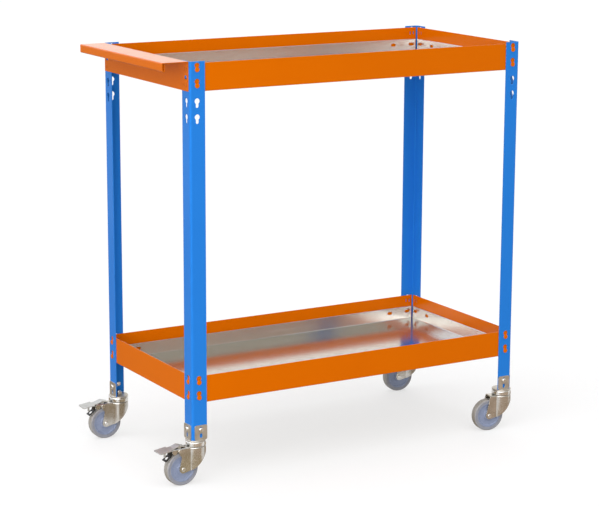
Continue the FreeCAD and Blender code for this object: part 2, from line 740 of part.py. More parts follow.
def fork_side(braked):
    """Side outline of a fork, as a prism across it."""
    axle = (-TRAIL, AXLE_Z)
    front_x = CUP_DIAMETER / 2 + CUT
    top_z = CROWN_TOP_Z + CUT
    nose = (front_x, CROWN_TOP_Z - FORK_NOSE_DROP)
    heel = (FORK_HEEL_AHEAD - TRAIL, AXLE_Z - FORK_HEEL_DROP)
    chord = (heel[0] - nose[0], heel[1] - nose[1])
    chord_length = math.hypot(*chord)
    bulge = ((nose[0] + heel[0]) / 2 - chord[1] / chord_length * FORK_NOSE_BULGE,
             (nose[1] + heel[1]) / 2 + chord[0] / chord_length * FORK_NOSE_BULGE)
    low = tangent_point(axle, FORK_BOSS_RADIUS, heel, -1)
    if braked:
        root = (-TRAIL - ARM_ROOT_BEHIND, CROWN_TOP_Z - ARM_ROOT_DROP)
    else:
        root = (-CROWN_REAR, top_z)
    back = tangent_point(axle, FORK_BOSS_RADIUS, root, 1)
    under = (axle[0], axle[1] - FORK_BOSS_RADIUS)
    edges = [segment((front_x, top_z), nose), arc(nose, bulge, heel), segment(heel, low),
             arc(low, under, back), segment(back, root)]
    if braked:
        end = (-TRAIL - ARM_REACH + ARM_END_RADIUS, CROWN_TOP_Z - ARM_END_RADIUS)
        arm_low = tangent_point(end, ARM_END_RADIUS, root, 1)
        arm_tip = (end[0] - ARM_END_RADIUS, end[1])
        arm_top = (end[0], CROWN_TOP_Z)
        crown_rear = (-CROWN_REAR, CROWN_TOP_Z)
        edges.append(segment(root, arm_low))
        edges.append(arc(arm_low, arm_tip, arm_top))
        edges.append(segment(arm_top, crown_rear))
        edges.append(segment(crown_rear, (-CROWN_REAR, top_z)))
    edges.append(segment((-CROWN_REAR, top_z), (front_x, top_z)))
    face = Part.Face(Part.Wire(Part.__sortEdges__(edges)))
    return moved(face.extrude(AXIS_Y * (CUP_DIAMETER + 2 * CUT)), y=-CUP_DIAMETER / 2 - CUT)


def segment(start, end):
    """Straight edge of a side outline."""
    return Part.LineSegment(in_xz(*start), in_xz(*end)).toShape()


def arc(start, middle, end):
    """Round edge of a side outline."""
    return Part.Arc(in_xz(*start), in_xz(*middle), in_xz(*end)).toShape()


def brake_pin_place():
    """Brake pin axis in a caster's side view."""
    return -TRAIL - BRAKE_PIN_BEHIND, CROWN_TOP_Z - BRAKE_PIN_DROP


def fork(braked):
    """Pressed fork: a round bell under the swivel head and two flat legs behind it."""
    bell = CUP_DIAMETER / 2
    outer = fork_block(bell, FORK_OUTER / 2, 0.0, CROWN_TOP_Z, CROWN_EDGE)
    inner = fork_block(bell - FORK_WALL, FORK_INNER / 2, -CUT, CROWN_UNDER_Z, 0.0)
    body = outer.cut(inner).common(fork_side(braked))
    across = FORK_OUTER + 2 * CUT
    axle_start = Vector(-TRAIL, -across / 2, AXLE_Z)
    cutters = [rod(AXLE_DIAMETER / 2 + AXLE_PLAY, axle_start, AXIS_Y, across)]
    if braked:
        pin_x, pin_z = brake_pin_place()
        cutters.append(rod(BRAKE_PIN_DIAMETER / 2, Vector(pin_x, -across / 2, pin_z), AXIS_Y, across))
        half = FORK_INNER / 2
        cutters.append(block(-TRAIL - WHEEL_DIAMETER, -CROWN_REAR, -half, half,
                             CROWN_UNDER_Z - CUT, CROWN_TOP_Z + CUT))
    race_height = ball_z() - BALL_DIAMETER / 2 - BALL_PLAY - CROWN_TOP_Z
    race = rod(RACE_OUTER / 2, Vector(0, 0, CROWN_TOP_Z), AXIS_Z, race_height)
    race = race.cut(rod(RACE_INNER / 2, Vector(0, 0, CROWN_TOP_Z), AXIS_Z, race_height))
    bore = rod(KING_DIAMETER / 2 + RUNNING_PLAY, Vector(0, 0, CROWN_UNDER_Z - CUT), AXIS_Z,
               FORK_WALL + 2 * CUT)
    cutters.append(bore)
    return cut_all(body, cutters).fuse(race).removeSplitter()


# Wheels, drawn about the axle with their faces along Y
def turned_ring(outline):
    """Ring swept about the axle from an outline of across and radius points."""
    points = [Vector(0, across, radius) for across, radius in outline]
    face = Part.Face(Part.makePolygon(points + points[:1]))
    ring = face.revolve(ORIGIN, AXIS_Y, 360)
    return moved(ring, -TRAIL, 0, AXLE_Z)


def mirrored_outline(half):
    """Outline completed by its mirror image across the wheel's middle plane."""
    return half + [(-across, radius) for across, radius in reversed(half)]


def tyre():
    """Solid rubber tyre with rounded shoulders and a shallow ring in each side."""
    side = TYRE_WIDTH / 2
    radius = WHEEL_DIAMETER / 2
    ring_in = radius - TYRE_RING_DROP - TYRE_RING_WIDTH / 2
    ring_out = ring_in + TYRE_RING_WIDTH
    groove = side - TYRE_RING_DEPTH
    half = [(side, CORE_DIAMETER / 2), (side, ring_in), (groove, ring_in), (groove, ring_out),
            (side, ring_out), (side, radius)]
    body = turned_ring(mirrored_outline(half))
    tread = 2 * math.pi * (radius - NEAR)
    return fillet_where(body, TYRE_SHOULDER, lambda middle, edge: edge.Length > tread)


def wheel_core():
    """Moulded wheel centre with a rim, a thinner web and a long hub."""
    bore = BUSH_DIAMETER / 2 + RUNNING_PLAY
    rim = CORE_DIAMETER / 2
    half = [(HUB_LENGTH / 2, bore), (HUB_LENGTH / 2, HUB_DIAMETER / 2),
            (CORE_WEB_WIDTH / 2, HUB_DIAMETER / 2), (CORE_WEB_WIDTH / 2, rim - CORE_RIM_WALL),
            (CORE_RIM_WIDTH / 2, rim - CORE_RIM_WALL), (CORE_RIM_WIDTH / 2, rim)]
    return turned_ring(mirrored_outline(half))


def axle_bush():
    """Spacer tube clamped between the fork's legs."""
    half = FORK_INNER / 2
    inner = AXLE_DIAMETER / 2 + AXLE_PLAY
    outer = BUSH_DIAMETER / 2
    return turned_ring([(half, inner), (half, outer), (-half, outer), (-half, inner)])


def axle_bolt():
    """Axle bolt, its round head on the front side of the fork."""
    seat = Vector(-TRAIL, -FORK_OUTER / 2, AXLE_Z)
    head = dome(AXLE_HEAD_DIAMETER / 2, AXLE_HEAD_HEIGHT, seat, -AXIS_Y)
    length = FORK_OUTER + AXLE_NUT_HEIGHT + AXLE_TAIL
    return fuse_all([head, rod(AXLE_DIAMETER / 2, seat, AXIS_Y, length)])


def axle_nut():
    """Axle nut on the back side of the fork."""
    nut = hexagon(AXLE_NUT_FLATS, ORIGIN, AXLE_NUT_HEIGHT)
    nut = nut.cut(rod(AXLE_DIAMETER / 2, -AXIS_Z * CUT, AXIS_Z, AXLE_NUT_HEIGHT + 2 * CUT))
    return moved(turned(nut, -90.0, AXIS_X), -TRAIL, FORK_OUTER / 2, AXLE_Z)


# Foot brakes
def brake_pin():
    """Riveted pin through the fork's two arms."""
    pin_x, pin_z = brake_pin_place()
    half = FORK_OUTER / 2
    parts = [rod(BRAKE_PIN_DIAMETER / 2, Vector(pin_x, -half, pin_z), AXIS_Y, FORK_OUTER)]
    for side in (-1, 1):
        seat = Vector(pin_x, side * half, pin_z)
        parts.append(dome(BRAKE_PIN_HEAD / 2, BRAKE_PIN_HEAD_WALL, seat, AXIS_Y * side))
    return fuse_all(parts)


def pedal_path():
    """Middle of the pedal sheet in side view, from its tip to its tongue."""
    pin_x, pin_z = brake_pin_place()
    return [(pin_x - PEDAL_TIP_BEHIND, pin_z + PEDAL_TIP_RISE),
            (pin_x - PEDAL_KNEE_BEHIND, pin_z + PEDAL_KNEE_RISE),
            (pin_x, pin_z + PEDAL_PEAK_RISE),
            (pin_x + PEDAL_TONGUE_AHEAD, pin_z + PEDAL_TONGUE_RISE)]


def brake_pedal():
    """Sheet pedal with a wide tip, ears on the pin, a tongue over the crown and a release tab."""
    pin_x, pin_z = brake_pin_place()
    path = pedal_path()
    section = strip(path, PEDAL_WALL, [PEDAL_BEND, PEDAL_BEND], in_xz)
    half_tip = PEDAL_TIP_WIDTH / 2
    sheet = moved(section.extrude(AXIS_Y * PEDAL_TIP_WIDTH), y=-half_tip)
    neck = FORK_INNER / 2 - PEDAL_PLAY
    flare_x = -TRAIL - ARM_REACH - PEDAL_FLARE_GAP
    tongue_x = -CROWN_REAR - PEDAL_FLARE_GAP
    high = CROWN_TOP_Z + WHEEL_DIAMETER
    for start_x, half_width in ((flare_x, neck), (tongue_x, PEDAL_TONGUE_WIDTH / 2)):
        waste = block(start_x, TRAIL, half_width, half_tip + CUT, AXLE_Z, high)
        sheet = cut_all(sheet, [waste, waste.mirror(ORIGIN, AXIS_Y)])
    tip_x = path[0][0]
    sheet = fillet_where(sheet, PEDAL_TIP_CORNER, lambda middle, edge: abs(middle.x - tip_x) < PEDAL_WALL
                         and abs(middle.y) > half_tip - NEAR and edge.Length < PEDAL_WALL + NEAR)
    parts = [sheet]
    under = under_pedal()
    for start_y in (-neck, neck - PEDAL_WALL):
        ring = rod(PEDAL_EAR_RADIUS, Vector(pin_x, start_y, pin_z), AXIS_Y, PEDAL_WALL)
        slab = block(pin_x - PEDAL_EAR_RADIUS, pin_x + PEDAL_EAR_RADIUS, start_y, start_y + PEDAL_WALL,
                     pin_z, high)
        parts.append(fuse_all([ring, slab.common(under)]))
    tab_x = pin_x - RELEASE_TAB_BEHIND
    tab_half = RELEASE_TAB_WIDTH / 2
    release = block(tab_x - PEDAL_WALL / 2, tab_x + PEDAL_WALL / 2, -tab_half, tab_half,
                    pin_z - RELEASE_TAB_DROP, high)
    parts.append(release.common(under))
    pin_hole = rod(BRAKE_PIN_DIAMETER / 2 + RUNNING_PLAY, Vector(pin_x, -half_tip, pin_z), AXIS_Y,
                   PEDAL_TIP_WIDTH)
    return fuse_all(parts).cut(pin_hole)


def under_pedal():
    """Everything below the middle of the pedal sheet."""
    path = pedal_path()
    floor = [(path[-1][0], 0.0), (path[0][0], 0.0)]
    corners = [in_xz(*point) for point in path + floor]
    face = Part.Face(Part.makePolygon(corners + corners[:1]))
    return moved(face.extrude(AXIS_Y * 2 * PEDAL_TIP_WIDTH), y=-PEDAL_TIP_WIDTH)


def brake_shoe(pedal):
    """Bent strip welded under the pedal, facing the tyre and ending in an open lift-off lip."""
    reach = WHEEL_DIAMETER / 2 + SHOE_GAP + SHOE_WALL / 2
    bend_x, bend_z = swing((-TRAIL, AXLE_Z), (reach, 0.0), math.radians(SHOE_ANGLE))
    tip_x = bend_x - SHOE_LIP_REACH
    path = [(bend_x + SHOE_TOP_AHEAD, CROWN_TOP_Z + BRAKE_PIN_DROP), (bend_x, bend_z),
            (tip_x, bend_z - SHOE_LIP_DROP)]
    section = strip(path, SHOE_WALL, [SHOE_BEND], in_xz)
    body = moved(section.extrude(AXIS_Y * SHOE_WIDTH), y=-SHOE_WIDTH / 2)
    half = SHOE_WINDOW_WIDTH / 2
    window = block(tip_x + SHOE_LIP_BAR, bend_x - SHOE_LIP_BAR, -half, half, 0.0, CROWN_TOP_Z)
    return body.cut(window).common(under_pedal()).cut(pedal)


# Assembly
def table_nodes():
    """Every piece by name, in its place in the frame."""
    nodes = {}
    angle = moved(post(), z=POST_FOOT_Z)
    for corner in CORNERS:
        nodes["post_" + corner] = at_corner(angle, corner)
    rails = {"front": long_rail(), "right": short_rail(), "back": long_rail(), "left": short_rail()}
    for level, level_z in (("top", TOP_LEVEL_Z), ("bottom", BOTTOM_LEVEL_Z)):
        for side, shape in rails.items():
            if (level, side) != ("top", "left"):
                nodes[level + "_" + side + "_rail"] = at_side(shape, side, level_z)
        nodes[level + "_tray"] = moved(tray(), z=tray_z(level_z))
    nodes["push_handle"] = push_handle()

    bracket = moved(caster_bracket(), z=POST_FOOT_Z)
    bolt = moved(bracket_bolt(), z=POST_FOOT_Z)
    nut = moved(bracket_nut(), z=POST_FOOT_Z)
    groups = {"bracket_bolts": [], "bracket_nuts": [], "king_bolts": [], "king_nuts": [],
              "king_washers": [], "swivel_balls": []}
    for corner in CORNERS:
        nodes["caster_bracket_" + corner] = at_corner(bracket, corner)
        for piece in (bolt, to_other_flange(bolt)):
            groups["bracket_bolts"].append(at_corner(piece, corner))
        for piece in (nut, to_other_flange(nut)):
            groups["bracket_nuts"].append(at_corner(piece, corner))
        king_x, king_y = king_place(corner)
        groups["king_bolts"].append(moved(king_bolt(), king_x, king_y))
        groups["king_nuts"].append(moved(king_nut(), king_x, king_y))
        groups["king_washers"].append(moved(king_washer(), king_x, king_y))
        groups["swivel_balls"] += [moved(ball, king_x, king_y) for ball in swivel_balls()]
        nodes["swivel_cup_" + corner] = moved(swivel_cup(), king_x, king_y)
    for name, pieces in groups.items():
        nodes[name] = Part.makeCompound(pieces)

    pedal = brake_pedal()
    shoe = brake_shoe(pedal)
    for corner in CORNERS:
        braked = corner in BRAKED_CORNERS
        pieces = {"fork": fork(braked), "axle_bolt": axle_bolt(), "axle_nut": axle_nut(),
                  "axle_bush": axle_bush(), "tyre": tyre(), "wheel_core": wheel_core()}
        if braked:
            pieces["brake_pin"] = brake_pin()
            pieces["brake_pedal"] = pedal
            pieces["brake_shoe"] = shoe
        for name, shape in pieces.items():
            nodes[corner + "_" + name] = at_caster(shape, corner)
    return nodes


def frame_shift(nodes):
    """Shift that puts the middle of the table's bounding box over the origin, its wheels on z = 0."""
    box = Part.makeCompound(list(nodes.values())).optimalBoundingBox(False, False)
    return Vector(-(box.XMin + box.XMax) / 2, -(box.YMin + box.YMax) / 2, -box.ZMin)


def main():
    """Write one STEP file for each piece."""
    os.makedirs("parts", exist_ok=True)
    nodes = table_nodes()
    shift = frame_shift(nodes)
    for name, shape in nodes.items():
        moved(shape, shift.x, shift.y, shift.z).exportStep("parts/" + name + ".step")
    print("nodes", len(nodes), "shift", [round(value, 3) for value in shift])


main()
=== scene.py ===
"""Looks of the mobile work table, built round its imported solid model.

Metres, +Z up, in the same frame as the solids.
"""

import json
import logging
import math
from dataclasses import dataclass
from enum import Enum
from typing import Any, Callable, Dict, Optional, Sequence, Tuple

import bmesh
import bpy
from mathutils import Matrix, Vector


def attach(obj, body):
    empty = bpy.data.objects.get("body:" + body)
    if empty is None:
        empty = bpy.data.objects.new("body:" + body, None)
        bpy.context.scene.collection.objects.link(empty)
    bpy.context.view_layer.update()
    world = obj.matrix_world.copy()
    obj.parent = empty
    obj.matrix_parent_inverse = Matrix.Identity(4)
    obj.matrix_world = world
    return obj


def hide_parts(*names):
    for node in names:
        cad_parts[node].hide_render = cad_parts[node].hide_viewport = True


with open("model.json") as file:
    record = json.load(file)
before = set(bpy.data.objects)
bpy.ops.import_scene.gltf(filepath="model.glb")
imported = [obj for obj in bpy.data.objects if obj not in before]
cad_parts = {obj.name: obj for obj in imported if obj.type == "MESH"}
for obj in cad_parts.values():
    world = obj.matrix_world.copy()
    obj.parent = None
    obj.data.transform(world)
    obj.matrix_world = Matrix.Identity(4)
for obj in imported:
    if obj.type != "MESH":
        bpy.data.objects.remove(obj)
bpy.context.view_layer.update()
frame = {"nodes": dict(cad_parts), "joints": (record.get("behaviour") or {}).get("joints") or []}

MM = 0.001
LOG = logging.getLogger("work_table")

Colour = Tuple[float, float, float, float]
Plan = Tuple[float, float]
Point = Tuple[float, float, float]

WHITE = "FFFFFF"

# Places of the colour sockets on a Mix node, which shares its socket names between data types
MIX_A = 6
MIX_B = 7
MIX_COLOUR = 2

# How alike the rounded and the flat normal are where an edge starts to show and where it shows in
# full, and how many rays look for it
EDGE_STARTS = 0.98
EDGE_FULL = 0.80
EDGE_SAMPLES = 4

# Stretch of a noise pattern that most of it lies in, the narrower one that sets clouds apart, and the
# layers of noise in a cloud
NOISE_LOW = 0.3
NOISE_HIGH = 0.7
CLOUD_LOW = 0.35
CLOUD_HIGH = 0.65
CLOUD_DETAIL = 4.0

# Refractive index of paint, rubber and nylon
POLYMER_IOR = 1.5

# Attribute that is 1 on the part of a tyre that runs on the floor
TREAD = "tread"

# How square to its axis the end of a turned piece is, how near to it the end's middle lies, and how
# near counts as the same place
SQUARE = 0.99
ON_AXIS = 0.1 * MM
NEAR = 0.01 * MM

# Edges that turn by more than the first of these are rounded, and by more than the second look sharp
ROUNDED_DEGREES = 40.0
SHARP_DEGREES = 35.0


class Corner(Enum):
    """Corners of the table, named as in the solid model."""

    FRONT_LEFT = "front_left"
    FRONT_RIGHT = "front_right"
    BACK_RIGHT = "back_right"
    BACK_LEFT = "back_left"


class Slot(Enum):
    """Material slots of the record for the new pieces, listed with them but not given to them."""

    TYRE = "grey_tyre"
    CORE = "grey_core"


def linear(hex_colour: str) -> Colour:
    """Turn an sRGB hex colour into the linear colour that shaders take.

    Args:
        hex_colour: Six hex digits.

    Returns:
        Linear red, green and blue with a full alpha.
    """
    channels = []
    for start in (0, 2, 4):
        value = int(hex_colour[start:start + 2], 16) / 255
        channels.append(value / 12.92 if value <= 0.04045 else ((value + 0.055) / 1.055) ** 2.4)
    return (channels[0], channels[1], channels[2], 1.0)


def per_metre(size_mm: float) -> float:
    """Texture scale that gives a pattern of this size in millimetres on Object coordinates."""
    return 1.0 / (size_mm * MM)


def add_node(tree: bpy.types.NodeTree, kind: str, inputs: Optional[Dict[Any, Any]] = None,
             **settings: Any) -> bpy.types.Node:
    """Add a shader node with its settings and links.

    Args:
        tree: Node tree to add to.
        kind: Node type without its ShaderNode prefix.
        inputs: Socket name or number to a value, or to another node's output socket.
        **settings: Properties of the node.

    Returns:
        The new node.
    """
    node = tree.nodes.new("ShaderNode" + kind)
    for name, value in settings.items():
        setattr(node, name, value)
    for name, value in (inputs or {}).items():
        if isinstance(value, bpy.types.NodeSocket):
            tree.links.new(value, node.inputs[name])
        else:
            node.inputs[name].default_value = value
    return node


def seen_directly(tree: bpy.types.NodeTree) -> bpy.types.NodeSocket:
    """Light path test for rays from the camera, by reflection or through glass.

    Args:
        tree: Node tree to add the test to.

    Returns:
        Socket that is 1 on such rays and 0 on the light that the surface throws around.
    """
    path = add_node(tree, "LightPath")
    mirrored = add_node(tree, "Math", {0: path.outputs["Is Camera Ray"], 1: path.outputs["Is Glossy Ray"]},
                        operation="MAXIMUM")
    through = add_node(tree, "Math", {0: mirrored.outputs[0], 1: path.outputs["Is Transmission Ray"]},
                       operation="MAXIMUM")
    return through.outputs[0]


def worn_edges(tree: bpy.types.NodeTree, reach_mm: float,
               most: float) -> Tuple[bpy.types.NodeSocket, bpy.types.NodeSocket]:
    """Find the edges of a piece, where its finish wears or pulls thin.

    Args:
        tree: Node tree to build in.
        reach_mm: How far from an edge it shows.
        most: Value on the edge itself.

    Returns:
        Normal that rounds the edges, and a mask that rises from 0 on the flat to most on an edge.
    """
    rounded = add_node(tree, "Bevel", {"Radius": reach_mm * MM}, samples=EDGE_SAMPLES).outputs[0]
    flat = add_node(tree, "NewGeometry").outputs["Normal"]
    alike = add_node(tree, "VectorMath", {0: rounded, 1: flat}, operation="DOT_PRODUCT")
    mask = add_node(tree, "MapRange", {"Value": alike.outputs["Value"], "From Min": EDGE_STARTS,
                                       "From Max": EDGE_FULL, "To Max": most})
    return rounded, mask.outputs[0]


def clouded(tree: bpy.types.NodeTree, place: bpy.types.NodeSocket, size_mm: float, colour: str,
            cloud_colour: str) -> Tuple[bpy.types.NodeSocket, bpy.types.NodeSocket]:
    """Cloud one colour with another.

    Args:
        tree: Node tree to build in.
        place: Object coordinates of the piece.
        size_mm: Size of the clouds.
        colour: Colour between the clouds.
        cloud_colour: Colour of the clouds.

    Returns:
        Noise that sets the clouds, and the mixed colour.
    """
    noise = add_node(tree, "TexNoise", {"Vector": place, "Scale": per_metre(size_mm),
                                        "Detail": CLOUD_DETAIL}).outputs["Fac"]
    spread = add_node(tree, "MapRange", {"Value": noise, "From Min": CLOUD_LOW, "From Max": CLOUD_HIGH})
    mixed = add_node(tree, "Mix", {0: spread.outputs[0], MIX_A: linear(colour), MIX_B: linear(cloud_colour)},
                     data_type="RGBA")
    return noise, mixed.outputs[MIX_COLOUR]


@dataclass(frozen=True)
class Finish:
    """A real material with the way its surface was made."""

    name: str

    def build(self) -> bpy.types.Material:
        """Make the material.

        Returns:
            The new material.
        """
        material = bpy.data.materials.new(self.name)
        material.use_nodes = True
        tree = material.node_tree
        tree.nodes.clear()
        add_node(tree, "OutputMaterial", {"Surface": self.shade(tree).outputs[0]})
        return material

    def shade(self, tree: bpy.types.NodeTree) -> bpy.types.Node:
        """Build the shader; each finish has its own."""
        raise NotImplementedError


@dataclass(frozen=True)
class PowderCoat(Finish):
    """Baked powder coat on sheet steel.

    The melted powder levels into a satin film with a fine orange peel. It pulls thin over cut
    edges, so they are a shade paler, and it gathers a little dust and rubbing.
    """

    colour: str
    deep_colour: str
    edge_colour: str
    sheen_colour: str
    roughness: float = 0.13
    # How far the roughness strays down and up
    polish: float = 0.03
    dulling: float = 0.04
    tone_mm: float = 140.0
    tone_detail: float = 3.0
    edge_mm: float = 0.9
    edge_share: float = 0.45
    rub_mm: float = 34.0
    rub_detail: float = 5.0
    rub_harshness: float = 0.6
    # Real peel is about 1 mm across, drawn coarser so that it shows
    peel_mm: float = 2.4
    peel_detail: float = 1.0
    peel_depth_mm: float = 0.1
    peel_strength: float = 0.04

    def shade(self, tree: bpy.types.NodeTree) -> bpy.types.Node:
        """Build the coat.

        Args:
            tree: Node tree to build in.

        Returns:
            The shader node.
        """
        place = add_node(tree, "TexCoord").outputs["Object"]
        tone = add_node(tree, "TexNoise", {"Vector": place, "Scale": per_metre(self.tone_mm),
                                           "Detail": self.tone_detail})
        body = add_node(tree, "Mix", {0: tone.outputs["Fac"], MIX_A: linear(self.colour),
                                      MIX_B: linear(self.deep_colour)}, data_type="RGBA")
        rounded, edge = worn_edges(tree, self.edge_mm, self.edge_share)
        film = add_node(tree, "Mix", {0: edge, MIX_A: body.outputs[MIX_COLOUR],
                                      MIX_B: linear(self.edge_colour)}, data_type="RGBA")
        rub = add_node(tree, "TexNoise", {"Vector": place, "Scale": per_metre(self.rub_mm),
                                          "Detail": self.rub_detail, "Roughness": self.rub_harshness})
        gloss = add_node(tree, "MapRange", {"Value": rub.outputs["Fac"], "From Min": NOISE_LOW,
                                            "From Max": NOISE_HIGH, "To Min": self.roughness - self.polish,
                                            "To Max": self.roughness + self.dulling})
        peel = add_node(tree, "TexNoise", {"Vector": place, "Scale": per_metre(self.peel_mm),
                                           "Detail": self.peel_detail})
        relief = add_node(tree, "Bump", {"Height": peel.outputs["Fac"], "Strength": self.peel_strength,
                                         "Distance": self.peel_depth_mm * MM, "Normal": rounded})
        return add_node(tree, "BsdfPrincipled", {"Base Color": film.outputs[MIX_COLOUR],
                                                 "Roughness": gloss.outputs[0], "IOR": POLYMER_IOR,
                                                 "Specular Tint": linear(self.sheen_colour),
                                                 "Normal": relief.outputs[0]})


@dataclass(frozen=True)
class GalvanisedSheet(Finish):
    """Hot-dip galvanised sheet, skin-passed between rolls.

    The zinc freezes into faint spangles, the rolls leave fine streaks along the sheet, and the thin
    floor is never quite flat, so its reflections waver. What lies flat is painted a little darker, as
    painted shade, and is smoother, while upright walls are painted paler, as painted light, and duller.
    """

    colour: str
    deep_colour: str
    # Paler colour of upright walls: painted light, against the painted shade of what lies flat
    painted_light_wall_colour: str
    roughness: float = 0.15
    wall_roughness: float = 0.19
    # How far spangles and streaks take the roughness down and up
    mottle_share: float = 0.03
    metallic: float = 0.92
    spangle_mm: float = 11.0
    # Real roll marks are a few tenths of a millimetre wide, drawn coarser so that they show
    streak_mm: float = 1.6
    streak_stretch: float = 60.0
    streak_detail: float = 2.0
    streak_depth_mm: float = 0.1
    streak_strength: float = 0.06
    wave_mm: float = 210.0
    wave_detail: float = 1.0
    wave_depth_mm: float = 2.5
    wave_strength: float = 0.1

    def shade(self, tree: bpy.types.NodeTree) -> bpy.types.Node:
        """Build the sheet.

        Args:
            tree: Node tree to build in.

        Returns:
            The shader node.
        """
        place = add_node(tree, "TexCoord").outputs["Object"]
        spangle = add_node(tree, "TexVoronoi", {"Vector": place, "Scale": per_metre(self.spangle_mm)})
        grey = add_node(tree, "RGBToBW", {"Color": spangle.outputs["Color"]})
        body = add_node(tree, "Mix", {0: grey.outputs[0], MIX_A: linear(self.colour),
                                      MIX_B: linear(self.deep_colour)}, data_type="RGBA")
        facing = add_node(tree, "SeparateXYZ", {0: add_node(tree, "NewGeometry").outputs["True Normal"]})
        lying_shade_and_gloss = add_node(tree, "Math", {0: facing.outputs["Z"]}, operation="ABSOLUTE").outputs[0]
        # Painted light and shade: upright walls take the paler wall colour and what lies flat the darker one
        skin = add_node(tree, "Mix", {0: lying_shade_and_gloss, MIX_A: linear(self.painted_light_wall_colour),
                                      MIX_B: body.outputs[MIX_COLOUR]}, data_type="RGBA")
        smooth = add_node(tree, "MapRange", {"Value": lying_shade_and_gloss, "To Min": self.wall_roughness,
                                             "To Max": self.roughness})
        rolled = add_node(tree, "Mapping", {"Vector": place, "Scale": (1.0 / self.streak_stretch, 1.0, 1.0)})
        streak = add_node(tree, "TexNoise", {"Vector": rolled.outputs[0], "Scale": per_metre(self.streak_mm),
                                             "Detail": self.streak_detail})
        # Spangle and streak each run from 0 to 1, so their sum runs to 2
        mottle = add_node(tree, "Math", {0: grey.outputs[0], 1: streak.outputs["Fac"]}, operation="ADD")
        patch = add_node(tree, "MapRange", {"Value": mottle.outputs[0], "From Max": 2.0,
                                            "To Min": -self.mottle_share, "To Max": self.mottle_share})
        gloss = add_node(tree, "Math", {0: smooth.outputs[0], 1: patch.outputs[0]}, operation="ADD")
        wave = add_node(tree, "TexNoise", {"Vector": place, "Scale": per_metre(self.wave_mm),
                                           "Detail": self.wave_detail})
        buckle = add_node(tree, "Bump", {"Height": wave.outputs["Fac"], "Strength": self.wave_strength,
                                         "Distance": self.wave_depth_mm * MM})
        relief = add_node(tree, "Bump", {"Height": streak.outputs["Fac"], "Strength": self.streak_strength,
                                         "Distance": self.streak_depth_mm * MM, "Normal": buckle.outputs[0]})
        return add_node(tree, "BsdfPrincipled", {"Base Color": skin.outputs[MIX_COLOUR],
                                                 "Metallic": self.metallic,
                                                 "Roughness": gloss.outputs[0], "Normal": relief.outputs[0]})


@dataclass(frozen=True)
class ZincPlate(Finish):
    """Electroplated zinc on pressed steel, passivated and tumbled in a barrel.

    The plate is lightly clouded, finely scuffed by its neighbours in the barrel and polished where
    edges stand proud. Blackened spring steel leaves the barrel with the same marks, only darker.
    """

    colour: str
    cloud_colour: str
    edge_colour: str
    roughness: float
    # How far the roughness strays down and up
    polish: float = 0.07
    dulling: float = 0.08
    cloud_mm: float = 16.0
    edge_mm: float = 0.6
    edge_share: float = 0.7
    # Real scuffs are a few tenths of a millimetre across, drawn coarser so that they show
    scuff_mm: float = 1.1
    scuff_detail: float = 3.0
    scuff_harshness: float = 0.65
    scuff_depth_mm: float = 0.06
    scuff_strength: float = 0.1

    def shade(self, tree: bpy.types.NodeTree) -> bpy.types.Node:
        """Build the plate.

        Args:
            tree: Node tree to build in.

        Returns:
            The shader node.
        """
        place = add_node(tree, "TexCoord").outputs["Object"]
        _, body = clouded(tree, place, self.cloud_mm, self.colour, self.cloud_colour)
        rounded, edge = worn_edges(tree, self.edge_mm, self.edge_share)
        film = add_node(tree, "Mix", {0: edge, MIX_A: body, MIX_B: linear(self.edge_colour)},
                        data_type="RGBA")
        scuff = add_node(tree, "TexNoise", {"Vector": place, "Scale": per_metre(self.scuff_mm),
                                            "Detail": self.scuff_detail, "Roughness": self.scuff_harshness})
        gloss = add_node(tree, "MapRange", {"Value": scuff.outputs["Fac"], "From Min": NOISE_LOW,
                                            "From Max": NOISE_HIGH, "To Min": self.roughness - self.polish,
                                            "To Max": self.roughness + self.dulling})
        relief = add_node(tree, "Bump", {"Height": scuff.outputs["Fac"], "Strength": self.scuff_strength,
                                         "Distance": self.scuff_depth_mm * MM, "Normal": rounded})
        return add_node(tree, "BsdfPrincipled", {"Base Color": film.outputs[MIX_COLOUR], "Metallic": 1.0,
                                                 "Roughness": gloss.outputs[0], "Normal": relief.outputs[0]})


